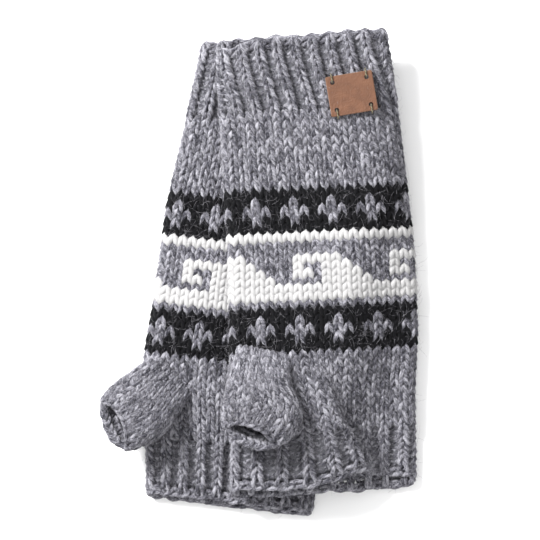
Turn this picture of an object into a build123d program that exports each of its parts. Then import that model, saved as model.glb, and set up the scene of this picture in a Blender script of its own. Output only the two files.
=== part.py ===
from build123d import *
import math
import os

# A pair of fingerless knitted mitts lying flat in a pile. The lower mitt lies on the table. The upper
# mitt lies across it, and its right side hangs down past the lower one onto the table.
# X runs across the mitts, +Y runs along them towards the wrist cuffs and +Z is up. The origin is the
# middle of the pair's outline, on the table. Each mitt is a flattened tube, cut into the courses that
# it is knitted in, from the cast-on edge at the wrist to the bind-off edge at the fingers.

os.makedirs("parts", exist_ok=True)

# Driving dimensions, in millimetres
layer = 3.6                # thickness of one layer of knitting
hollow = 5.8               # height of the space for the hand while the mitt lies flat
mitt_height = 2 * layer + hollow
gap = 0.6                  # clearance between two pieces that move apart
upper_base = mitt_height + gap
table_gap = 0.4            # under the part of the upper mitt that hangs down to the table
drop_start = 4.0           # the upper mitt starts to hang this far past the lower mitt's edge
drop_width = 24.0          # and reaches the table over this width
lower_edge = 42.5          # X of the lower mitt's right edge, level with the origin
lower_edge_slope = 0.123   # and how much further out it lies for each millimetre towards the cuff
span = 20.0                # a course is lofted in spans of about this length
section_points = 17        # points across each face of a flattened tube's section

# Courses from the wrist to the fingers: name, and the distance along the mitt where each one ends
courses = [
    ("cast_on_edge", 4.0),
    ("cuff_rib", 37.0),
    ("wrist_knit", 75.0),
    ("wrist_star_band", 97.0),
    ("wave_band", 134.0),
    ("knuckle_star_band", 156.0),
    ("hand_knit", 197.0),
    ("finger_rib", 220.5),
    ("bind_off_edge", 225.0),
]

# Outline of each mitt: distance along it, and how far it reaches left and right of its own axis
lower_outline = [(0, 43.0, 43.0), (50, 47.5, 44.0), (78, 51.0, 44.0), (130, 51.5, 43.5),
                 (164, 53.5, 43.0), (208, 45.5, 43.0), (225, 43.5, 42.0)]
upper_outline = [(0, 43.5, 44.0), (38, 43.0, 47.5), (74, 43.0, 50.5), (106, 42.0, 52.5),
                 (156, 44.0, 52.5), (168, 45.0, 50.0), (225, 48.0, 48.0)]
lower_axis = Plane(origin=(12.7, 108.6, 0), x_dir=Vector(1, 0, 0).rotate(Axis.Z, -7.0))
upper_axis = Plane(origin=(20.4, 116.4, 0), x_dir=Vector(1, 0, 0).rotate(Axis.Z, 2.8))

# Thumb sleeves
sleeve_layer = 3.2
slot_length, slot_width = 20.0, 7.0        # the hole in the hand that the sleeve is knitted out of
slot_inset = 8.0                           # from the sleeve's root to the middle of that hole
sleeve_hole = 5.0                          # how far that hole rises into the sleeve
cut_spare = 1.0                            # a cut starts this far inside the hollow that it opens

# The leather label and its four stitches
label_width, label_height, label_thick = 23.4, 20.0, 1.6
label_corner, label_edge = 0.8, 0.3        # radius of its corners, and of its rounded upper edge
label_lift = 0.3                           # clearance under it
label_place = (45.6, 88.8)
label_turn = 9.5
hole_inset, hole_radius = 3.1, 1.1
thread_radius = 0.35
thread_foot = 0.1                          # a stitch starts and ends this far above the wool
thread_past = 1.2                          # it comes down this far past the label's edge
thread_bend = 0.6


def width_at(outline, along):
    """How far a mitt reaches left and right of its axis, between the stations of its outline."""
    for (v0, l0, r0), (v1, l1, r1) in zip(outline, outline[1:]):
        if along <= v1:
            t = (along - v0) / (v1 - v0)
            return l0 + t * (l1 - l0), r0 + t * (r1 - r0)
    return outline[-1][1], outline[-1][2]


def station(axis, along):
    """The upright plane across a mitt, at a distance along it: its y is up and it faces the fingers."""
    return Plane(origin=axis.from_local_coords(Vector(0, -along, 0)), x_dir=axis.x_dir, z_dir=-axis.y_dir)


def lower_edge_x(y):
    """Where the right edge of the lower mitt lies, under the upper one."""
    return lower_edge + lower_edge_slope * y


def flat_base(axis, along, across):
    return 0.0


def draped_base(axis, along, across):
    """Height of the upper mitt's underside: on the lower mitt, then down past its edge to the table."""
    point = axis.from_local_coords(Vector(across, -along, 0))
    t = (point.X - lower_edge_x(point.Y) - drop_start) / drop_width
    t = min(1.0, max(0.0, t))
    return table_gap + (upper_base - table_gap) * (1 - t * t * (3 - 2 * t))


def flat_section(plane, left, right, half, middle):
    """A flattened tube's section on a plane: its half height, and middle(u) for the way it bends."""
    flat = right - left - 2 * half
    spread = [left + half + flat * i / (section_points - 1) for i in range(section_points)]
    under = [(u, middle(u) - half) for u in spread]
    over = [(u, middle(u) + half) for u in spread]
    with BuildSketch(plane) as section:
        with BuildLine():
            Spline(*under)
            ThreePointArc(under[-1], (right, middle(right - half)), over[-1])
            Spline(*over)
            ThreePointArc(under[0], (left, middle(left + half)), over[0])
        make_face()
    return section.sketch


def tube(axis, outline, base, start, end, inset, mode):
    """Adds the stretch of a flattened tube between two distances along a mitt to the part."""
    pieces = max(1, round((end - start) / span))
    sections = []
    for i in range(pieces + 1):
        along = start + (end - start) * i / pieces
        left, right = width_at(outline, along)
        middle = lambda u, at=along: base(axis, at, u) + mitt_height / 2
        sections.append(flat_section(station(axis, along), inset - left, right - inset,
                                     mitt_height / 2 - inset, middle))
    loft(sections, ruled=True, mode=mode)


def sleeve_plane(root, heading, along, height):
    """The upright plane across a thumb sleeve at a distance from its root."""
    way = Vector(math.cos(math.radians(heading)), math.sin(math.radians(heading)), 0)
    return Plane(origin=Vector(*root, height) + way * along, x_dir=way.rotate(Axis.Z, 90), z_dir=way)


# Each thumb sleeve lies on its mitt: where its root starts, which way it points, and its sections as
# (distance from the root, width, height, height of its middle above the mitt)
top_of = {"lower": mitt_height, "upper": upper_base + mitt_height}
sleeves = {
    "lower": {"root": (-46.2, -54.2), "heading": 220.5,
              "stations": [(0, 31, 9.0, 4.6), (11, 33, 13.2, 6.8), (22, 33, 13.8, 6.9),
                           (31, 31, 13.8, 6.0), (35, 30, 13.6, 5.4)]},
    "upper": {"root": (2.6, -43.5), "heading": 259.5,
              "stations": [(0, 30, 9.0, 4.6), (11, 34, 13.4, 6.9), (22, 39, 14.5, 7.5),
                           (32, 41, 15.0, 7.7), (39, 37, 15.0, 7.7), (43, 33, 14.5, 7.5)]},
}

for mitt, axis, outline, base in (("lower", lower_axis, lower_outline, flat_base),
                                  ("upper", upper_axis, upper_outline, draped_base)):
    start = 0.0
    sleeve = sleeves[mitt]
    slot_plane = Plane(sleeve_plane(sleeve["root"], sleeve["heading"], slot_inset, 0).origin,
                       x_dir=Vector(1, 0, 0).rotate(Axis.Z, sleeve["heading"] + 90))
    for course, end in courses:
        with BuildPart() as knitted:
            tube(axis, outline, base, start, end, 0.0, Mode.ADD)
            tube(axis, outline, base, start, end, layer, Mode.SUBTRACT)
            if course == "hand_knit":
                with BuildSketch(slot_plane.offset(top_of[mitt] - layer - cut_spare)):
                    SlotOverall(slot_length, slot_width)
                extrude(amount=layer + 2 * cut_spare, mode=Mode.SUBTRACT)
        knitted.part.label = f"{mitt}_{course}"
        export_step(knitted.part, f"parts/{mitt}_{course}.step")
        start = end

    # The sleeve for the thumb: a short flattened tube, open at its mouth and down through the hole.
    # Its last courses are bound off into a rim.
    stations = sleeve["stations"]
    for name, stretch in (("thumb_sleeve", stations[:-1]), ("thumb_edge", stations[-2:])):
        with BuildPart() as thumb:
            for inset, mode in ((0.0, Mode.ADD), (sleeve_layer, Mode.SUBTRACT)):
                sections = []
                for along, wide, high, centre in stretch:
                    plane = sleeve_plane(sleeve["root"], sleeve["heading"], along,
                                         top_of[mitt] + gap + centre)
                    sections.append(flat_section(plane, inset - wide / 2, wide / 2 - inset,
                                                 high / 2 - inset, lambda u: 0.0))
                loft(sections, ruled=True, mode=mode)
            if name == "thumb_sleeve":
                with BuildSketch(slot_plane.offset(top_of[mitt])):
                    SlotOverall(slot_length, slot_width)
                extrude(amount=gap + sleeve_hole, mode=Mode.SUBTRACT)
        thumb.part.label = f"{mitt}_{name}"
        export_step(thumb.part, f"parts/{mitt}_{name}.step")

# The leather label lies on the front of the upper mitt's cuff, with a hole in each corner.
label_plane = Plane(origin=(*label_place, top_of["upper"] + label_lift),
                    x_dir=Vector(1, 0, 0).rotate(Axis.Z, label_turn))
with BuildPart() as label:
    with BuildSketch(label_plane):
        RectangleRounded(label_width, label_height, label_corner)
        with GridLocations(label_width - 2 * hole_inset, label_height - 2 * hole_inset, 2, 2):
            Circle(hole_radius, mode=Mode.SUBTRACT)
    extrude(amount=label_thick)
    fillet(label.faces().sort_by(Axis.Z)[-1].outer_wire().edges(), label_edge)
label.part.label = "label"
export_step(label.part, "parts/label.step")

# Four stitches hold the label: each rises through a corner hole and goes back over the nearest edge.
with BuildPart() as label_threads:
    for side in (-1, 1):
        for end in (-1, 1):
            x = side * (label_width / 2 - hole_inset)
            inner = end * (label_height / 2 - hole_inset)
            outer = end * (label_height / 2 + thread_past)
            top = label_thick + 2 * thread_radius
            route = [(x, inner, thread_foot), (x, inner, top), (x, outer, top),
                     (x, outer, thread_foot)]
            with BuildLine(label_plane) as path:
                FilletPolyline(*route, radius=thread_bend)
            with BuildSketch(Plane(origin=path.line @ 0, z_dir=path.line % 0)):
                Circle(thread_radius)
            sweep(path=path.line)
label_threads.part.label = "label_threads"
export_step(label_threads.part, "parts/label_threads.step")
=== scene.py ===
import math

import bpy
import numpy as np
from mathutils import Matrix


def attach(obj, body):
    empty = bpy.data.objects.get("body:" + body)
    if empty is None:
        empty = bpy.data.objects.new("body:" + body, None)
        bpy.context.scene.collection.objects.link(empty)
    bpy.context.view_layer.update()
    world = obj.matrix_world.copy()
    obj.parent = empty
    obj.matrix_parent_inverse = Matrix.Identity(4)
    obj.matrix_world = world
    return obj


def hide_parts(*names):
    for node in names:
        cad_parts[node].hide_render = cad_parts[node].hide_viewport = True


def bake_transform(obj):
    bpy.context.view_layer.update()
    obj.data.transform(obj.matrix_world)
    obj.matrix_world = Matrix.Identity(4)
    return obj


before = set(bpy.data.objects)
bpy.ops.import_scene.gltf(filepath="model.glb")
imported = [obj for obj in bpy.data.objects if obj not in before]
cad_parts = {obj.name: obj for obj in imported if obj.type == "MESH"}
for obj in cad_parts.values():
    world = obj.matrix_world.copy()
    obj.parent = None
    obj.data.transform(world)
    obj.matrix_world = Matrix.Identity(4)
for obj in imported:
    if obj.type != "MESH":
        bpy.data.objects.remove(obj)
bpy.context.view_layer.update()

# Camera: straight above the pair, with a long lens so that the knitting is seen square on. The frame
# is 270 mm across at the height of the mitts.
LENS_HEIGHT = 1.9
VIEW_WIDTH = 0.270
VIEW_CENTRE = (0.005, 0.001)
MITT_MIDDLE = 0.018

eye = bpy.data.cameras.new("overhead_camera")
eye.sensor_width = 36.0
eye.lens = eye.sensor_width * (LENS_HEIGHT - MITT_MIDDLE) / VIEW_WIDTH
eye.clip_end = 10.0
overhead = bpy.data.objects.new("overhead_camera", eye)
overhead.location = (*VIEW_CENTRE, LENS_HEIGHT)
bpy.context.scene.collection.objects.link(overhead)
bpy.context.scene.camera = overhead
bpy.ops.object.select_all(action="DESELECT")

# The wool: thick, softly spun single yarn of fibres in several greys, and the same yarn in black and
# in undyed cream. The fibres lie in long streaks that wind slowly round the strand.
SPIN_PITCH = 0.0140            # a fibre winds once round the strand in this length
STRAND_UNIT = 0.01             # the strand map counts the length of yarn in this unit
FIBRE_RUN, FIBRE_SCALE, FIBRE_DETAIL, FIBRE_BREAKUP = 2.6, 3.6, 6.0, 0.78
PATCH_SCALE, PATCH_DETAIL, PATCH_SHARE = 0.42, 2.0, 0.42
GREY_DARK, GREY_MID, GREY_PALE = (0.010, 0.010, 0.016), (0.124, 0.121, 0.145), (0.42, 0.415, 0.455)
BLACK_DARK, BLACK_MID, BLACK_PALE = (0.001, 0.001, 0.002), (0.002, 0.002, 0.003), (0.010, 0.0095, 0.012)
CREAM_DARK, CREAM_MID, CREAM_PALE = (0.33, 0.325, 0.325), (0.395, 0.39, 0.39), (0.43, 0.425, 0.425)
CREAM_FULLER = 1.42            # the cream yarn is spun this much thicker


class Signal:
    """A shader socket that can be added, multiplied and so on like a number."""

    def __init__(self, shop, socket):
        self.shop, self.socket = shop, socket

    def maths(self, operation, other, flipped=False):
        first, second = (other, self) if flipped else (self, other)
        return self.shop.node("ShaderNodeMath", {"operation": operation}, {0: first, 1: second})

    def __add__(self, other):
        return self.maths("ADD", other)

    def __sub__(self, other):
        return self.maths("SUBTRACT", other)

    def __rsub__(self, other):
        return self.maths("SUBTRACT", other, flipped=True)

    def __mul__(self, other):
        return self.maths("MULTIPLY", other)

    __radd__, __rmul__ = __add__, __mul__


class Shop:
    """One material's node tree, and the one way that nodes are put in it."""

    def __init__(self, name):
        self.material = bpy.data.materials.new(name)
        self.material.use_nodes = True
        self.tree = self.material.node_tree
        self.tree.nodes.clear()
        self.output = self.tree.nodes.new("ShaderNodeOutputMaterial")

    def node(self, kind, settings=None, inputs=None, out=0):
        made = self.tree.nodes.new(kind)
        for key, value in (settings or {}).items():
            setattr(made, key, value)
        for key, value in (inputs or {}).items():
            if isinstance(value, Signal):
                self.tree.links.new(value.socket, made.inputs[key])
            else:
                made.inputs[key].default_value = value
        return Signal(self, made.outputs[out])

    def blend_colours(self, factor, first, second):
        """The colour that lies between two others by a factor."""
        return self.node("ShaderNodeMix", {"data_type": "RGBA"}, {0: factor, 6: first, 7: second}, out=2)

    def surface(self, **inputs):
        named = {key.replace("_", " "): value for key, value in inputs.items()}
        shader = self.node("ShaderNodeBsdfPrincipled", {}, named)
        self.tree.links.new(shader.socket, self.output.inputs["Surface"])
        return self.material


def opaque(colour):
    return (*colour, 1.0)


def wool(name, dark, mid, pale, streak, sheen, relief):
    """Yarn whose colour and relief follow the strand: u is the length along it, v goes round it."""
    shop = Shop(name)
    strand = shop.node("ShaderNodeUVMap", {"uv_map": "strand"})
    along = shop.node("ShaderNodeSeparateXYZ", {}, {0: strand}, out=0)
    round_it = shop.node("ShaderNodeSeparateXYZ", {}, {0: strand}, out=1)
    turn = (round_it + along * (STRAND_UNIT / SPIN_PITCH)) * math.tau
    side = turn.maths("COSINE", 0.0)
    face = turn.maths("SINE", 0.0)
    place = shop.node("ShaderNodeCombineXYZ", {}, {0: along * FIBRE_RUN, 1: side, 2: face})
    fibres = shop.node("ShaderNodeTexNoise", {}, {"Vector": place, "Scale": FIBRE_SCALE,
                                                   "Detail": FIBRE_DETAIL, "Roughness": FIBRE_BREAKUP})
    patches = shop.node("ShaderNodeTexNoise", {}, {"Vector": place, "Scale": PATCH_SCALE,
                                                    "Detail": PATCH_DETAIL})
    tone = (fibres - 0.5) * streak + (patches - 0.5) * (streak * PATCH_SHARE) + 0.5
    low = shop.node("ShaderNodeMapRange", {}, {0: tone, 1: 0.0, 2: 0.5})
    high = shop.node("ShaderNodeMapRange", {}, {0: tone, 1: 0.5, 2: 1.0})
    colour = shop.blend_colours(high, shop.blend_colours(low, opaque(dark), opaque(mid)), opaque(pale))
    bump = shop.node("ShaderNodeBump", {}, {"Strength": 1.0, "Distance": relief, "Height": fibres})
    return shop.surface(Base_Color=colour, Roughness=0.92, Specular_IOR_Level=0.12, Normal=bump,
                        Sheen_Weight=sheen, Sheen_Roughness=0.45)


grey_wool = wool("grey_wool", GREY_DARK, GREY_MID, GREY_PALE, 5.2, 0.12, 0.0011)
black_wool = wool("black_wool", BLACK_DARK, BLACK_MID, BLACK_PALE, 2.4, 0.03, 0.0011)
cream_wool = wool("cream_wool", CREAM_DARK, CREAM_MID, CREAM_PALE, 1.6, 0.15, 0.0005)
WOOLS = [grey_wool, black_wool, cream_wool]
GREY, BLACK, CREAM = 0, 1, 2

# The shape that the fabric lies in. Each mitt is a flattened tube along its own axis: u goes once
# round it, from the left edge over the front to the right edge and back underneath, and v runs from
# the wrist to the fingers. The upper mitt lies on the lower one and drops past its edge to the table.
MITT_HEIGHT = 0.0130
BASE_GAP = 0.0006
UPPER_BASE = MITT_HEIGHT + BASE_GAP
EDGE_AT, EDGE_SLOPE = 0.0425, 0.123    # the lower mitt's right edge, which leans out towards the cuff
DROP_START, DROP_WIDTH = 0.001, 0.035  # the upper mitt starts to drop this far past it, over this width
CREST = 0.0021                         # from the middle of the fabric out to the top of its stitches
STITCHES = 40
LENGTH = 0.225
OUTLINE_SOFT = 0.009                   # an outline's corners are rounded over this distance each way

LOWER = {"origin": (0.0127, 0.1086), "turn": math.radians(-7.0), "outline": (
    (0.000, 0.0430, 0.0430), (0.050, 0.0475, 0.0440), (0.078, 0.0510, 0.0440), (0.130, 0.0515, 0.0435),
    (0.164, 0.0535, 0.0430), (0.208, 0.0455, 0.0430), (0.225, 0.0435, 0.0420))}
UPPER = {"origin": (0.0204, 0.1164), "turn": math.radians(2.8), "outline": (
    (0.000, 0.0435, 0.0440), (0.038, 0.0430, 0.0475), (0.074, 0.0430, 0.0505), (0.106, 0.0420, 0.0525),
    (0.156, 0.0440, 0.0525), (0.168, 0.0450, 0.0500), (0.225, 0.0480, 0.0480))}


def ease(t):
    """A smooth step from 0 to 1."""
    t = np.clip(t, 0.0, 1.0)
    return t * t * (3 - 2 * t)


def outline_at(mitt, v):
    """How far a mitt reaches left and right of its axis, smoothed along its length."""
    table = np.array(mitt["outline"])
    reach = [0.0, 0.0]
    for step in (-OUTLINE_SOFT, 0.0, OUTLINE_SOFT):
        reach[0] = reach[0] + np.interp(v + step, table[:, 0], table[:, 1]) / 3
        reach[1] = reach[1] + np.interp(v + step, table[:, 0], table[:, 2]) / 3
    return reach


def oval(u, left, right, half):
    """Across and height of a point that is u of the way round a stadium, from its left end."""
    flat = right + left - 2 * half
    bend = math.pi * half
    around = 2 * (flat + bend)
    s = np.mod(u, 1.0) * around
    s = np.where(s > around - bend / 2, s - around, s)
    angle_left = s / half
    on_left = np.abs(s) <= bend / 2
    over = (s > bend / 2) & (s <= bend / 2 + flat)
    on_right = (s > bend / 2 + flat) & (s <= 1.5 * bend + flat)
    angle_right = (s - bend / 2 - flat) / half
    across = np.where(on_left, -left + half - half * np.cos(angle_left), 0.0)
    height = np.where(on_left, half * np.sin(angle_left), 0.0)
    across = np.where(over, -left + half + (s - bend / 2), across)
    height = np.where(over, half, height)
    across = np.where(on_right, right - half + half * np.sin(angle_right), across)
    height = np.where(on_right, half * np.cos(angle_right), height)
    under = s > 1.5 * bend + flat
    across = np.where(under, right - half - (s - 1.5 * bend - flat), across)
    height = np.where(under, -half, height)
    return across, height


def to_world(mitt, across, v):
    """X and Y of a point on a mitt, from its place across and along the mitt's axis."""
    c, s = math.cos(mitt["turn"]), math.sin(mitt["turn"])
    x = mitt["origin"][0] + across * c + v * s
    y = mitt["origin"][1] + across * s - v * c
    return x, y


# The lower mitt's open end: its front is a little shorter than its back, and sinks towards it.
LOWER_MOUTH_FROM, LOWER_MOUTH_RUN = 0.190, 0.035
LOWER_BACK_LONGER, LOWER_FRONT_SHORTER = 0.0010, 0.0028
LOWER_RIPPLE, LOWER_SAG = 0.0010, 0.0046


def lower_skin(u, v):
    """The middle of the lower mitt's fabric."""
    left, right = outline_at(LOWER, v)
    across, height = oval(u, left - CREST, right - CREST, MITT_HEIGHT / 2 - CREST)
    front = ease(height / MITT_HEIGHT + 0.5)
    mouth = ease((v - LOWER_MOUTH_FROM) / LOWER_MOUTH_RUN)
    along = v + mouth * (LOWER_BACK_LONGER - LOWER_FRONT_SHORTER * front)
    x, y = to_world(LOWER, across, along)
    z = MITT_HEIGHT / 2 + height + front * (ripple(x, y, 3.0) * LOWER_RIPPLE - LOWER_SAG * mouth)
    return np.stack([x, y, z], -1)


def ripple(x, y, seed):
    """Gentle unevenness of cloth that has been laid down by hand, between about -1 and 1."""
    return (np.sin(x * 62 + seed) * np.cos(y * 47 + 2.1 * seed) * 0.6
            + np.sin(x * 131 - y * 83 + seed * 3.7) * 0.4)


# The upper mitt's cuff: its columns are turned a little round the wrist, and its front edge rises at
# the left and dips at the right.
CUFF_TWIST, CUFF_TWIST_RUN = -0.034, 0.045
WRIST_RUN = 0.030
WRIST_LEFT, WRIST_ACROSS = 0.045, 0.093
WRIST_RISE, WRIST_RISE_TO = 0.0065, 0.35
WRIST_DIP, WRIST_DIP_FROM, WRIST_DIP_STEEP = 0.0012, 0.5, 3
UPPER_RIPPLE, UPPER_SAG = 0.0009, 0.0022
UPPER_MOUTH_FROM, UPPER_MOUTH_RUN = 0.185, 0.040

# The fold beside the upper thumb: where it lies in the knitting at its start, how that moves towards the
# fingers, how far the cloth on its left is pulled over the cloth on its right, and the width that turns.
# Then how high its ridge stands, how deep its valley sinks, and how widely each of them spreads.
FOLD_START, FOLD_ACROSS, FOLD_SLOPE = 0.150, -0.009, 0.19
FOLD_PULL, FOLD_TURN = 0.0175, 0.0145
FOLD_RISE, FOLD_SINK = 0.0056, 0.0080
FOLD_PULL_WIDE, FOLD_RISE_WIDE, FOLD_SINK_WIDE = 0.034, 0.020, 0.024
FOLD_FULL_AT, FOLD_REACH_MOST = 1.6, 1.08
SHORT_SOFT = 0.004
# How much shorter the front of the mouth is than the back, across the mitt from left to right
SHORT_ACROSS = (-0.048, -0.030, -0.018, -0.006, 0.004, 0.012, 0.020, 0.030, 0.048)
SHORT_FRONT = (0.0055, 0.0034, 0.0036, 0.0080, 0.0128, 0.0115, 0.0085, 0.0070, 0.0068)


def upper_skin(u, v):
    """The middle of the upper mitt's fabric, with the fold beside the thumb."""
    left, right = outline_at(UPPER, v)
    twist = CUFF_TWIST * ease((CUFF_TWIST_RUN - v) / CUFF_TWIST_RUN)
    across, height = oval(u + twist, left - CREST, right - CREST, MITT_HEIGHT / 2 - CREST)
    front = ease(height / MITT_HEIGHT + 0.5)
    reach = np.clip((v - FOLD_START) / (LENGTH - FOLD_START), 0, FOLD_REACH_MOST)
    fold = FOLD_ACROSS + FOLD_SLOPE * np.maximum(v - FOLD_START, 0)
    past = across - fold
    turned = ease(past / FOLD_TURN)
    pulled = np.where(past < 0, np.exp(-(past / FOLD_PULL_WIDE) ** 2), 1 - turned)
    rise = np.where(past < 0, FOLD_RISE * np.exp(-(past / FOLD_RISE_WIDE) ** 2),
                    FOLD_RISE - (FOLD_RISE + FOLD_SINK) * turned)
    rise = rise * np.exp(-(np.maximum(past - FOLD_TURN, 0) / FOLD_SINK_WIDE) ** 2)
    mouth = ease((v - UPPER_MOUTH_FROM) / UPPER_MOUTH_RUN)
    shortfall = sum(np.interp(across + step, SHORT_ACROSS, SHORT_FRONT)
                    for step in (-SHORT_SOFT, 0.0, SHORT_SOFT)) / 3
    wrist = ease((WRIST_RUN - v) / WRIST_RUN) * front
    spot = (across + WRIST_LEFT) / WRIST_ACROSS
    lift = (WRIST_RISE * ease((WRIST_RISE_TO - spot) / WRIST_RISE_TO)
            - WRIST_DIP * ease((spot - WRIST_DIP_FROM) * WRIST_DIP_STEEP))
    across = across + front * FOLD_PULL * reach * pulled
    along = v - mouth * front * shortfall + wrist * lift
    x, y = to_world(UPPER, across, along)
    t = (x - (EDGE_AT + EDGE_SLOPE * y) - DROP_START) / DROP_WIDTH
    z = UPPER_BASE * (1 - ease(t)) + MITT_HEIGHT / 2 + height
    z = z + front * (ripple(x, y, 1.0) * UPPER_RIPPLE + rise * ease(reach * FOLD_FULL_AT)
                     - UPPER_SAG * mouth)
    return np.stack([x, y, z], -1)


# One knitted loop, drawn once. Its two legs lie in front, close together at the foot and apart at the
# top, and the loop's head passes behind the feet of the next row. x is in stitch widths, y in row
# heights and z in millimetres out of the fabric. A purl loop is the same seen from behind.
KNIT_LOOP = [(-0.50, -0.06, -1.30), (-0.27, -0.33, -1.20), (-0.02, -0.33, -0.50), (-0.09, 0.00, 0.60),
             (-0.245, 0.42, 0.90), (-0.395, 0.84, 0.65), (-0.465, 1.18, -0.30), (-0.26, 1.36, -1.15),
             (0.0, 1.36, -1.40)]
RIB_LOOP = [(-0.50, -0.06, -1.60), (-0.27, -0.33, -1.30), (-0.06, -0.29, -0.35), (-0.11, 0.02, 0.85),
            (-0.20, 0.44, 1.15), (-0.30, 0.86, 0.95), (-0.35, 1.20, 0.0), (-0.22, 1.36, -1.05),
            (0.0, 1.36, -1.40)]
PURL_LOOP = [(-0.50, -0.10, -1.90), (-0.36, -0.22, -1.90), (-0.20, -0.10, -2.0), (-0.17, 0.22, -2.3),
             (-0.22, 0.62, -2.4), (-0.30, 0.98, -2.3), (-0.28, 1.22, -2.0), (0.0, 1.34, -1.85)]
YARN_RADIUS = 0.00120
TIGHT, EASED = 0.76, 0.30      # the yarn is drawn thin behind the fabric and swells in front of it
BACK_AT, FRONT_OVER = 0.6, 1.3
KNIT_WIDE, PURL_WIDE = 1.34, 0.66
LEAN, TALLER, PROUDER = 0.030, 0.05, 0.10     # how much one stitch differs from the next
LOOP_STEPS = 14
YARN_SIDES = 6
DRAWN_FLAT = 0.25              # a loop is drawn with its depth scaled down, to the size of its width
STRAND_SHIFT = 7.13            # each strand's streaks start at another place in the wool


def draw_loop(points):
    """The whole loop as evenly spaced points along a NURBS curve through its half and its mirror."""
    whole = points + [(-x, y, z) for x, y, z in points[-2::-1]]
    bpy.ops.curve.primitive_nurbs_path_add()
    path = bpy.context.object
    spline = path.data.splines[0]
    spline.points.add(len(whole) - len(spline.points))
    for point, (x, y, z) in zip(spline.points, whole):
        point.co = (x, y, z * DRAWN_FLAT, 1.0)
    spline.order_u = 3
    spline.use_endpoint_u = True
    path.data.resolution_u = 16
    drawn = bpy.data.meshes.new_from_object(path.evaluated_get(bpy.context.evaluated_depsgraph_get()))
    line = np.array([v.co[:] for v in drawn.vertices]) * (1, 1, 1 / DRAWN_FLAT)
    bpy.data.objects.remove(path)
    run = np.concatenate([[0], np.cumsum(np.linalg.norm(np.diff(line, axis=0), axis=1))])
    stops = np.linspace(0, run[-1], LOOP_STEPS + 1)[:-1]
    return np.stack([np.interp(stops, run, line[:, k]) for k in range(3)], -1)


knit_loop = draw_loop(KNIT_LOOP)
rib_loop = draw_loop(RIB_LOOP)
purl_loop = draw_loop(PURL_LOOP)


def surface_frame(skin, u, v):
    """Points of a skin and its outward normals."""
    du, dv = 2e-4, 2e-4
    middle = skin(u, v)
    over = skin(u + du, v) - skin(u - du, v)
    down = skin(u, v + dv) - skin(u, v - dv)
    normal = np.cross(over, -down)
    return middle, normal / (np.linalg.norm(normal, axis=-1, keepdims=True) + 1e-12)


def sweep_strands(lines, normals, radius, closed, sides=YARN_SIDES):
    """Tubes along lines of shape (strands, points, 3): vertices, faces and strand map. None of
    them reaches below the table."""
    strands, points = lines.shape[:2]
    lines[:, :, 2] = np.maximum(lines[:, :, 2], radius)
    ahead = np.roll(lines, -1, axis=1) - np.roll(lines, 1, axis=1)
    if not closed:
        ahead[:, 0] = lines[:, 1] - lines[:, 0]
        ahead[:, -1] = lines[:, -1] - lines[:, -2]
    ahead /= np.linalg.norm(ahead, axis=-1, keepdims=True) + 1e-12
    out = normals - ahead * np.sum(normals * ahead, axis=-1, keepdims=True)
    out /= np.linalg.norm(out, axis=-1, keepdims=True) + 1e-12
    beside = np.cross(ahead, out)
    angle = np.arange(sides) * math.tau / sides
    ring = (out[:, :, None] * np.cos(angle)[:, None] + beside[:, :, None] * np.sin(angle)[:, None])
    verts = (lines[:, :, None] + ring * np.asarray(radius)[..., None, None]).reshape(-1, 3)
    spans = points if closed else points - 1
    strand, span, side = np.meshgrid(np.arange(strands), np.arange(spans), np.arange(sides),
                                     indexing="ij")
    after, beyond = (span + 1) % points, (side + 1) % sides

    def index(s, p, k):
        return (s * points + p) * sides + k

    faces = np.stack([index(strand, span, side), index(strand, after, side),
                      index(strand, after, beyond), index(strand, span, beyond)], -1).reshape(-1, 4)
    step = np.linalg.norm(np.roll(lines, -1, axis=1) - lines, axis=-1)
    run = np.concatenate([np.zeros((strands, 1)), np.cumsum(step, axis=1)], axis=1) / STRAND_UNIT
    run += np.arange(strands)[:, None] * STRAND_SHIFT
    start, stop = run[:, :spans], run[:, 1:spans + 1]
    u_map = np.broadcast_to(np.stack([start, stop, stop, start], -1)[:, :, None], (*strand.shape, 4))
    v_map = np.stack([side, side, side + 1, side + 1], -1) / sides
    return verts, faces, np.stack([u_map, v_map], -1).reshape(-1, 2)


def build_piece(name, verts, faces, strand_map, material_index, materials):
    """A mesh object at the origin, with its strand map and a material for each face."""
    mesh = bpy.data.meshes.new(name)
    mesh.vertices.add(len(verts))
    mesh.vertices.foreach_set("co", np.ascontiguousarray(verts, dtype=np.float32).ravel())
    mesh.loops.add(len(faces) * 4)
    mesh.loops.foreach_set("vertex_index", np.ascontiguousarray(faces, dtype=np.int32).ravel())
    mesh.polygons.add(len(faces))
    mesh.polygons.foreach_set("loop_start", np.arange(len(faces), dtype=np.int32) * 4)
    layer = mesh.uv_layers.new(name="strand")
    layer.data.foreach_set("uv", np.ascontiguousarray(strand_map, dtype=np.float32).ravel())
    for material in materials:
        mesh.materials.append(material)
    mesh.polygons.foreach_set("material_index", np.ascontiguousarray(material_index, dtype=np.int32))
    mesh.polygons.foreach_set("use_smooth", np.ones(len(faces), dtype=bool))
    mesh.update(calc_edges=True)
    mesh.validate()
    piece = bpy.data.objects.new(name, mesh)
    bpy.context.scene.collection.objects.link(piece)
    return piece


chance = np.random.default_rng(7)


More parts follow.
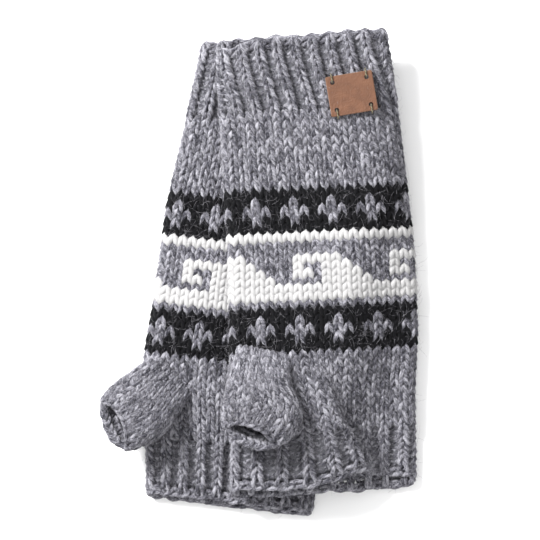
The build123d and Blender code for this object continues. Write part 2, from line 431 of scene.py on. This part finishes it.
def knit_rows(skin, stitches, row_starts, height, ribbed):
    """The yarn of some courses, as one closed strand for each row: lines and normals."""
    columns = np.arange(stitches)
    lines, normals = [], []
    for start in row_starts:
        loops = np.broadcast_to(knit_loop, (stitches, LOOP_STEPS, 3)).copy()
        centre = (columns + 0.5)[:, None]
        if ribbed:
            odd = columns % 2 == 1
            loops[:] = rib_loop
            loops[odd] = purl_loop
            width = np.where(odd, PURL_WIDE, KNIT_WIDE)[:, None]
        else:
            width = np.ones((stitches, 1))
        loops[:, :, 0] *= width
        lean = chance.normal(0, LEAN, (stitches, 1))
        taller = chance.normal(0, TALLER, (stitches, 1))
        proud = chance.normal(0, PROUDER, (stitches, 1))
        held = np.sin(np.linspace(0, math.pi, LOOP_STEPS, endpoint=False))[None] ** 0.5
        across = (centre + loops[:, :, 0] + lean * held) / stitches
        along = start + height * loops[:, :, 1] * (1 + taller * held)
        out = (loops[:, :, 2] + proud * held) * 0.001
        middle, normal = surface_frame(skin, across.ravel(), along.ravel())
        lines.append(middle + normal * out.ravel()[:, None])
        normals.append(normal)
    return np.array(lines), np.array(normals)


def plain_chart(rows, stitches, yarn=GREY):
    return np.full((rows, stitches), yarn)


def knit_piece(name, skin, chart, start, end, body, node, ribbed=False):
    """Knits the courses of one node from a chart of yarns and hangs the piece on its body."""
    rows, stitches = chart.shape
    height = (end - start) / rows
    starts = start + height * np.arange(rows)
    lines, normals = knit_rows(skin, stitches, starts, height, ribbed)
    fuller = np.where(np.repeat(chart, LOOP_STEPS, axis=1) == CREAM, CREAM_FULLER, 1.0)
    if not ribbed:
        swell = TIGHT + EASED * np.clip((knit_loop[:, 2] + BACK_AT) / FRONT_OVER, 0, 1)
        fuller = fuller * np.tile(swell, stitches)
    verts, faces, strand_map = sweep_strands(lines, normals, YARN_RADIUS * fuller, True)
    yarns = np.repeat(chart, LOOP_STEPS * YARN_SIDES, axis=1).ravel()
    piece = build_piece(name, verts, faces, strand_map, yarns, WOOLS)
    if body:
        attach(piece, body)
    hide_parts(node)
    return piece


def star_chart(first):
    """A black band, two rows of black round three rows of grey stars, four stitches to a star."""
    chart = plain_chart(5, STITCHES, BLACK)
    centres = np.arange(first, first + STITCHES, 4) % STITCHES
    for row, reach in ((1, (0,)), (2, (-1, 0, 1)), (3, (0,))):
        for step in reach:
            chart[row, (centres + step) % STITCHES] = GREY
    return chart


WAVE = ("WWWWW.....", "W..WWW....", "WW.WWWW...", "...WWWWW..", "WWWWWWWWWW", "WWWWWWWWWW")


def wave_chart(first):
    """A cream row, two grey rows, a row of waves ten stitches long, and a grey row."""
    chart = plain_chart(10, STITCHES)
    chart[0] = CREAM
    for row, marks in enumerate(WAVE):
        for column in range(STITCHES):
            if marks[(column - first) % len(marks)] == "W":
                chart[3 + row, column] = CREAM
    return chart


COURSES = (("cast_on_edge", 0.0000, 0.0040), ("cuff_rib", 0.0040, 0.0370), ("wrist_knit", 0.0370, 0.0750),
           ("wrist_star_band", 0.0750, 0.0970), ("wave_band", 0.0970, 0.1340),
           ("knuckle_star_band", 0.1340, 0.1560), ("hand_knit", 0.1560, 0.1970),
           ("finger_rib", 0.1970, 0.2205), ("bind_off_edge", 0.2205, 0.2250))
GREY_ROWS = {"cast_on_edge": 1, "cuff_rib": 9, "wrist_knit": 9, "hand_knit": 10, "finger_rib": 6,
             "bind_off_edge": 1}
RIBBED = ("cast_on_edge", "cuff_rib", "finger_rib", "bind_off_edge")
# Each mitt, its fabric, and the columns where its first star and its first wave start
MITTS = (("lower", lower_skin, 1, 3), ("upper", upper_skin, 3, 7))

for mitt, skin, star_first, wave_first in MITTS:
    for course, start, end in COURSES:
        if course.endswith("star_band"):
            chart, slot = star_chart(star_first), "black_wool"
        elif course == "wave_band":
            chart, slot = wave_chart(wave_first), "cream_wool"
        else:
            chart, slot = plain_chart(GREY_ROWS[course], STITCHES), "grey_wool"
        knit_piece(f"{mitt}_{course}_yarn", skin, chart, start, end, f"{mitt}_mitt", f"{mitt}_{course}",
                   course in RIBBED)

# The thumb sleeves: stitches picked up round the hole in the hand and knitted outwards as a short
# tube, wider than it is high. The top of the mouth is shorter than the bottom, so it gapes.
THUMB_STITCHES = 20
THUMB_ROW_HEIGHT = 0.0040
ROOT_IN = -0.0040
THUMB_CREST = CREST * 0.6
THUMB_LEAST_HALF = 0.0015
THUMB_SOFT = 0.003             # a sleeve's stations are rounded over this distance each way
THUMB_CROWN = 1.08             # the middle of the sleeve is this much fuller than an oval
SIDE_PINCH, MOUTH_PINCH = 0.26, 0.36
ROLL = 0.045
GAPE_FROM, GAPE_RUN = 0.010, 0.030
POUT, POUT_BACK, POUT_RUN = 0.0070, 0.007, 0.009
LIP_SHIFT = 0.0053
THUMB_RIPPLE = 0.0008
BEND_FROM, BEND_TO = -0.003, 0.009     # two distances out from a sleeve's root, at which bend_of gives points on its axis
# Each sleeve's stations: distance from its root, width, height, height of its middle, and how far its
# middle lies to the right of its axis. tilt is how much longer the sleeve is for each metre to the right.
THUMBS = {
    "lower": {"root": (-0.0462, -0.0542), "heading": math.radians(218.5), "top": MITT_HEIGHT, "rows": 9,
              "tilt": 0.24, "stations": (
        (-0.006, 0.027, 0.0060, -0.0062, 0.0), (0.000, 0.028, 0.0085, -0.0004, 0.0),
        (0.005, 0.030, 0.0112, 0.0032, 0.0005), (0.010, 0.0325, 0.0136, 0.0060, 0.0016),
        (0.017, 0.0345, 0.0148, 0.0070, 0.0024), (0.024, 0.0338, 0.0148, 0.0068, 0.0019),
        (0.030, 0.0315, 0.0144, 0.0061, 0.0012), (0.037, 0.029, 0.0134, 0.0054, 0.0005))},
    "upper": {"root": (0.0026, -0.0435), "heading": math.radians(259.5), "top": UPPER_BASE + MITT_HEIGHT,
              "rows": 10, "tilt": 0.18, "stations": (
        (-0.006, 0.027, 0.0060, -0.0062, -0.0010), (0.000, 0.0275, 0.0090, -0.0002, -0.0010),
        (0.006, 0.028, 0.0118, 0.0040, -0.0010), (0.012, 0.0305, 0.0142, 0.0064, -0.0004),
        (0.017, 0.0365, 0.0156, 0.0074, 0.0021), (0.0225, 0.0404, 0.0164, 0.0079, 0.0036),
        (0.029, 0.0392, 0.0162, 0.0078, 0.0027), (0.034, 0.0352, 0.0155, 0.0076, 0.0012),
        (0.040, 0.0280, 0.0146, 0.0073, -0.0012))}}


def thumb_skin(thumb):
    """The middle of a thumb sleeve's fabric, with u round the tube and v out from its root."""
    table = np.array(thumb["stations"])
    way = np.array([math.cos(thumb["heading"]), math.sin(thumb["heading"])])
    beside = np.array([-way[1], way[0]])
    end = ROOT_IN + thumb["rows"] * THUMB_ROW_HEIGHT

    def skin(u, v):
        wide, high, middle, shift = (sum(np.interp(v + step, table[:, 0], table[:, k])
                                         for step in (-THUMB_SOFT, 0.0, THUMB_SOFT)) / 3
                                     for k in (1, 2, 3, 4))
        half = np.maximum(high / 2 - THUMB_CREST, THUMB_LEAST_HALF)
        reach = wide / 2 - THUMB_CREST
        across, height = oval(u, reach, reach, half)
        over = height / half
        inward = (across / reach) ** 2
        gape = ease((v - GAPE_FROM) / GAPE_RUN)
        pout = ease((v - end + POUT_BACK) / POUT_RUN)
        height = height * (THUMB_CROWN - (SIDE_PINCH + MOUTH_PINCH * pout) * inward)
        height = height + ROLL * across * gape + POUT * pout * (1 - over) / 2 * (1 - 0.5 * inward)
        along = v - gape * (LIP_SHIFT * over * (1 - inward) - thumb["tilt"] * across)
        x = thumb["root"][0] + way[0] * along + beside[0] * (across + shift)
        y = thumb["root"][1] + way[1] * along + beside[1] * (across + shift)
        swell = np.maximum(over, 0) * ripple(x, y, 5.0) * THUMB_RIPPLE
        return np.stack([x, y, thumb["top"] + BASE_GAP + middle + height + swell], -1)

    return skin


def bend_of(thumb):
    """Points on a sleeve's axis at BEND_FROM and BEND_TO out from its root, at the height of the mitt's
    top.
    """
    way = (math.cos(thumb["heading"]), math.sin(thumb["heading"]))
    return [(thumb["root"][0] + way[0] * out, thumb["root"][1] + way[1] * out, thumb["top"])
            for out in (BEND_FROM, BEND_TO)]


# The bound-off edges: a chain of flat links that lies along the rim, one link for each stitch.
LINK_STEPS = 12
LINK_LENGTH, LINK_HEIGHT, LINK_LIFT = 0.78, 0.27, 0.65
LINK_RADIUS = 0.00122
LINK_IN, LINK_JITTER = 0.0004, 0.06
CHAIN_ROW, THUMB_CHAIN_ROW = 0.0052, 0.0046
CAST_ON_AT, BIND_OFF_AT, THUMB_CHAIN_PAST = 0.0004, 0.2258, 0.0012
CAST_ON_SCALLOP, BIND_OFF_SCALLOP = -0.0007, 0.0003
QUARTER_TURN = 1.57


def chain_edge(name, skin, stitches, at, row_height, body, scallop=0.0):
    """The chain of a bound-off or cast-on edge, as closed links that overlap round the rim."""
    turn = np.arange(LINK_STEPS) * math.tau / LINK_STEPS
    link = np.stack([LINK_LENGTH * np.cos(turn), LINK_HEIGHT * np.sin(turn), LINK_LIFT * np.cos(turn)], -1)
    across = (np.arange(stitches)[:, None] + 0.5 + link[:, 0]) / stitches
    jitter = chance.normal(0, LINK_JITTER, (stitches, 1))
    wave = np.cos(math.pi * across * stitches - QUARTER_TURN)
    along = at + row_height * (link[:, 1] + jitter) + scallop * wave
    middle, normal = surface_frame(skin, across.ravel(), along.ravel())
    out = np.broadcast_to(link[:, 2] * 0.001 - LINK_IN, across.shape).ravel()
    lines = (middle + normal * out[:, None]).reshape(stitches, LINK_STEPS, 3)
    normal = normal.reshape(lines.shape)
    verts, faces, strand_map = sweep_strands(lines, normal, np.full(lines.shape[:2], LINK_RADIUS), True)
    piece = build_piece(name, verts, faces, strand_map, np.zeros(len(faces)), WOOLS[:1])
    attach(piece, body)


for mitt, skin, _, _ in MITTS:
    for edge, at, scallop in (("cast_on", CAST_ON_AT, CAST_ON_SCALLOP),
                              ("bind_off", BIND_OFF_AT, BIND_OFF_SCALLOP)):
        chain_edge(f"{mitt}_{edge}_chain", skin, STITCHES, at, CHAIN_ROW, f"{mitt}_mitt", scallop)
    thumb = THUMBS[mitt]
    skin = thumb_skin(thumb)
    rows = thumb["rows"]
    mouth = ROOT_IN + rows * THUMB_ROW_HEIGHT
    sleeve = knit_piece(f"{mitt}_thumb_sleeve_yarn", skin, plain_chart(rows - 1, THUMB_STITCHES), ROOT_IN,
                        mouth - THUMB_ROW_HEIGHT, None, f"{mitt}_thumb_sleeve")
    start, end = bend_of(thumb)
    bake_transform(sleeve)
    knit_piece(f"{mitt}_thumb_edge_yarn", skin, plain_chart(1, THUMB_STITCHES), mouth - THUMB_ROW_HEIGHT,
               mouth, f"{mitt}_thumb", f"{mitt}_thumb_edge")
    chain_edge(f"{mitt}_thumb_chain", skin, THUMB_STITCHES, mouth + THUMB_CHAIN_PAST, THUMB_CHAIN_ROW,
               f"{mitt}_thumb")

# The inner face of each mitt: the felted backs of the loops and the strands carried behind them. It closes
# the small gaps between the stitches. Its grey is darker than the yarn's: painted shade for the gaps
# between the stitches. Behind the cream stitches it is paler. The thumb sleeves' inner face is near black:
# painted shade for the inside of the tube.
BACK_DEPTH, BACK_THICK = 0.0011, 0.0005
BACK_AROUND, BACK_ALONG = 96, 90
BACK_FROM, BACK_TO = 0.0015, 0.2225
# The thumb sleeves' inner face reaches close to the mouth, so that its painted shade darkens the mouth's
# slit.
THUMB_BACK_FROM, THUMB_BACK_SHORT = 0.001, 1.3     # the second is in rows, back from the sleeve's mouth
WAVE_FROM, WAVE_TO = next((start, end) for course, start, end in COURSES if course == "wave_band")


def back_wool(name, dark, pale):
    """The matt, felted look of the backs of the loops."""
    shop = Shop(name)
    place = shop.node("ShaderNodeTexCoord", {}, {}, out=3)
    felt = shop.node("ShaderNodeTexNoise", {}, {"Vector": place, "Scale": 900.0, "Detail": 4.0})
    bump = shop.node("ShaderNodeBump", {}, {"Strength": 0.8, "Distance": 0.0006, "Height": felt})
    return shop.surface(Base_Color=shop.blend_colours(felt, opaque(dark), opaque(pale)), Roughness=0.95,
                        Specular_IOR_Level=0.1, Normal=bump)


# Painted shade: the backs of the grey loops are darkened for the shade in the gaps between the stitches.
hand_back_with_painted_shade = back_wool("hand_back_with_painted_shade", (0.03, 0.03, 0.035), (0.15, 0.15, 0.165))
cream_back = back_wool("cream_back", (0.34, 0.335, 0.335), (0.50, 0.495, 0.495))
# Painted shade: the inside of a thumb sleeve is near black for the shade in the tube, so its mouth reads
# as a dark slit.
thumb_back_painted_shade = back_wool("thumb_back_painted_shade", (0.008, 0.008, 0.011), (0.050, 0.050, 0.060))


def inner_face(name, skin, start, end, finishes, waves=None):
    """A thin closed tube that follows the middle of a piece of knitting, paler behind cream stitches."""
    u = np.arange(BACK_AROUND) / BACK_AROUND
    v = np.linspace(start, end, BACK_ALONG)
    v_grid, u_grid = np.meshgrid(v, u, indexing="ij")
    middle, normal = surface_frame(skin, u_grid.ravel(), v_grid.ravel())
    outer = middle - normal * BACK_DEPTH
    inner = middle - normal * (BACK_DEPTH + BACK_THICK)
    verts = np.concatenate([outer, inner])
    row, col = np.meshgrid(np.arange(BACK_ALONG - 1), np.arange(BACK_AROUND), indexing="ij")
    row, col = row.ravel(), col.ravel()
    beyond = (col + 1) % BACK_AROUND
    a, b = row * BACK_AROUND + col, row * BACK_AROUND + beyond
    c, d = b + BACK_AROUND, a + BACK_AROUND
    below = BACK_ALONG * BACK_AROUND
    ring = np.arange(BACK_AROUND)
    nxt = (ring + 1) % BACK_AROUND
    last = (BACK_ALONG - 1) * BACK_AROUND
    faces = np.concatenate([np.stack([d, c, b, a], -1), np.stack([a, b, c, d], -1) + below,
                            np.stack([ring, nxt, nxt + below, ring + below], -1),
                            np.stack([ring + below, nxt + below, nxt, ring], -1) + last])
    finish = np.zeros(len(faces))
    if waves is not None:
        band_row = np.floor((v[row] - WAVE_FROM) / (WAVE_TO - WAVE_FROM) * len(waves)).astype(int)
        stitch = waves[np.clip(band_row, 0, len(waves) - 1), (u[col] * STITCHES).astype(int)]
        pale = (stitch == CREAM) & (band_row >= 0) & (band_row < len(waves))
        finish[:2 * len(row)] = np.tile(pale, 2)
    return build_piece(name, verts, faces, np.zeros((len(faces) * 4, 2)), finish, finishes)


for mitt, skin, _, wave_first in MITTS:
    back = inner_face(f"{mitt}_inner_face", skin, BACK_FROM, BACK_TO, [hand_back_with_painted_shade, cream_back],
                      wave_chart(wave_first))
    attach(back, f"{mitt}_mitt")
    thumb = THUMBS[mitt]
    back = inner_face(f"{mitt}_thumb_inner_face", thumb_skin(thumb), THUMB_BACK_FROM,
                      ROOT_IN + (thumb["rows"] - THUMB_BACK_SHORT) * THUMB_ROW_HEIGHT, [thumb_back_painted_shade])
    start, end = bend_of(thumb)
    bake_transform(back)

# The halo: loose fibres that stand out of the spun yarn all over, a few millimetres long and curled.
# They are pale and dark grey, and they show most over the black bands and along the outline.
FIBRE_RADIUS = 0.000046
FIBRE_SIDES = 3
FIBRE_TAPER = 0.4
FIBRE_CURL = 0.60
FIBRE_ROOT = 0.0015            # a fibre leaves the yarn this far out from the middle of the fabric
STAND_LEAST, STAND_MORE, STAND_TURN = 0.10, 0.40, 2.2
LOOSE = {"count": 5600, "points": 4, "shortest": 0.0015, "longest": 0.0048}
STRAY = {"count": 1100, "points": 7, "shortest": 0.0040, "longest": 0.0100}
THUMB_LOOSE = {"count": 1000, "points": 4, "shortest": 0.0015, "longest": 0.0055}
HALO_TO, THUMB_HALO_FROM = 0.226, 0.008

fibre_shop = Shop("loose_fibre")
fibre_place = fibre_shop.node("ShaderNodeTexCoord", {}, {}, out=3)
fibre_tone = fibre_shop.node("ShaderNodeTexNoise", {}, {"Vector": fibre_place, "Scale": 420.0,
                                                         "Detail": 2.0})
fibre_high = fibre_shop.node("ShaderNodeMapRange", {}, {0: fibre_tone, 1: 0.36, 2: 0.62})
fibre_colour = fibre_shop.blend_colours(fibre_high, (0.06, 0.058, 0.068, 1), (0.36, 0.35, 0.38, 1))
loose_fibre = fibre_shop.surface(Base_Color=fibre_colour, Roughness=0.7, Specular_IOR_Level=0.2)


def halo(name, skin, body, start, end, count, points, shortest, longest):
    """Curled fibres that grow out of a piece of knitting at random places."""
    u, v = chance.random(count), start + (end - start) * chance.random(count)
    root, normal = surface_frame(skin, u, v)
    across, _ = surface_frame(skin, u + 0.004, v)
    side = across - root
    side /= np.linalg.norm(side, axis=-1, keepdims=True) + 1e-12
    down = np.cross(normal, side)
    angle = chance.random(count)[:, None] * math.tau
    ahead = side * np.cos(angle) + down * np.sin(angle)
    beside = np.cross(normal, ahead)
    length = (shortest + (longest - shortest) * chance.random(count) ** 1.6)[:, None]
    curl = chance.normal(0, FIBRE_CURL, (count, 1))
    stand = STAND_LEAST + STAND_MORE * chance.random((count, 1)) ** 2
    root = root + normal * FIBRE_ROOT
    steps = np.linspace(0, 1, points)
    lines = np.stack([root + length * (t * ahead + curl * t * t * beside
                                       + stand * math.sin(t * STAND_TURN) * normal) for t in steps], 1)
    normals = np.repeat(normal[:, None], points, 1)
    radius = np.broadcast_to(FIBRE_RADIUS * (1 - FIBRE_TAPER * steps), lines.shape[:2])
    verts, faces, strand_map = sweep_strands(lines, normals, radius, False, FIBRE_SIDES)
    piece = build_piece(name, verts, faces, strand_map, np.zeros(len(faces)), [loose_fibre])
    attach(piece, body)


for mitt, skin, _, _ in MITTS:
    halo(f"{mitt}_loose_fibres", skin, f"{mitt}_mitt", 0.0, HALO_TO, **LOOSE)
    halo(f"{mitt}_stray_hairs", skin, f"{mitt}_mitt", 0.0, HALO_TO, **STRAY)
    thumb = THUMBS[mitt]
    halo(f"{mitt}_thumb_loose_fibres", thumb_skin(thumb), f"{mitt}_thumb", THUMB_HALO_FROM,
         ROOT_IN + thumb["rows"] * THUMB_ROW_HEIGHT, **THUMB_LOOSE)

# The label: a small rectangle of vegetable-tanned leather, with paler cut edges and a punched hole in
# each corner. Its shape is the designed one, and only its finish is given here.
TAN_DARK, TAN_PALE = (0.062, 0.024, 0.011, 1), (0.145, 0.063, 0.032, 1)
TAN_EDGE = (0.34, 0.20, 0.12, 1)

leather_shop = Shop("tan_leather")
leather_place = leather_shop.node("ShaderNodeTexCoord", {}, {}, out=3)
grain = leather_shop.node("ShaderNodeTexNoise", {}, {"Vector": leather_place, "Scale": 1500.0,
                                                      "Detail": 4.0})
pores = leather_shop.node("ShaderNodeTexVoronoi", {}, {"Vector": leather_place, "Scale": 1100.0})
stains = leather_shop.node("ShaderNodeTexNoise", {}, {"Vector": leather_place, "Scale": 260.0,
                                                       "Detail": 6.0})
facing = leather_shop.node("ShaderNodeNewGeometry", {}, {}, out=1)
upright = leather_shop.node("ShaderNodeSeparateXYZ", {}, {0: facing}, out=2)
cut_edge = leather_shop.node("ShaderNodeMapRange", {}, {0: upright, 1: 0.85, 2: 0.35})
tan = leather_shop.blend_colours(stains, TAN_DARK, TAN_PALE)
tan = leather_shop.blend_colours(cut_edge, tan, TAN_EDGE)
leather_height = grain * 0.6 + pores * 0.5
leather_bump = leather_shop.node("ShaderNodeBump", {}, {"Strength": 0.8, "Distance": 0.00035,
                                                         "Height": leather_height})
tan_leather = leather_shop.surface(Base_Color=tan, Roughness=0.52 + grain * 0.16, Normal=leather_bump,
                                   Specular_IOR_Level=0.35)

# The label's stitches: olive waxed linen thread, twisted from two plies.
linen_shop = Shop("linen_thread")
linen_place = linen_shop.node("ShaderNodeTexCoord", {}, {}, out=3)
plies = linen_shop.node("ShaderNodeTexWave", {"bands_direction": "DIAGONAL"},
                        {"Vector": linen_place, "Scale": 420.0, "Distortion": 1.0})
linen_colour = linen_shop.blend_colours(plies, (0.04, 0.034, 0.018, 1), (0.17, 0.145, 0.085, 1))
linen_bump = linen_shop.node("ShaderNodeBump", {}, {"Strength": 0.7, "Distance": 0.0002, "Height": plies})
linen_thread = linen_shop.surface(Base_Color=linen_colour, Roughness=0.6, Normal=linen_bump)

for node, finish in (("label", tan_leather), ("label_threads", linen_thread)):
    fixed = bpy.data.objects[node]
    for holder in fixed.material_slots:
        holder.material = finish

# The table and the light: a plain white table, a soft window light from beyond the cuffs on the left,
# a weak fill light from the fingers' side, and even light from all round.
TABLE_SIZE, TABLE_UNDER = 3.0, 0.0004
ROOM_LIGHT = 0.90
LAMPS = (("window_light", (-0.95, 0.9, 1.1), 78.0, 0.5), ("fill_light", (0.35, -1.1, 1.2), 7.0, 1.2))

bpy.ops.mesh.primitive_plane_add(size=TABLE_SIZE, location=(0, 0, -TABLE_UNDER))
table = bpy.context.object
table.name = "table"
table_shop = Shop("table_white")
table.data.materials.append(table_shop.surface(Base_Color=(0.95, 0.95, 0.95, 1.0), Roughness=0.8))

world = bpy.data.worlds.new("soft_room")
bpy.context.scene.world = world
world.use_nodes = True
world.node_tree.nodes["Background"].inputs["Color"].default_value = (1.0, 1.0, 1.0, 1.0)
world.node_tree.nodes["Background"].inputs["Strength"].default_value = ROOM_LIGHT
for name, place, power, size in LAMPS:
    lamp = bpy.data.lights.new(name, "AREA")
    lamp.energy, lamp.size = power, size
    holder = bpy.data.objects.new(name, lamp)
    holder.location = place
    aim = math.atan2(math.hypot(place[0], place[1]), place[2])
    holder.rotation_euler = (0, aim, math.atan2(place[1], place[0]))
    bpy.context.scene.collection.objects.link(holder)

bpy.context.scene.view_settings.view_transform = "Standard"
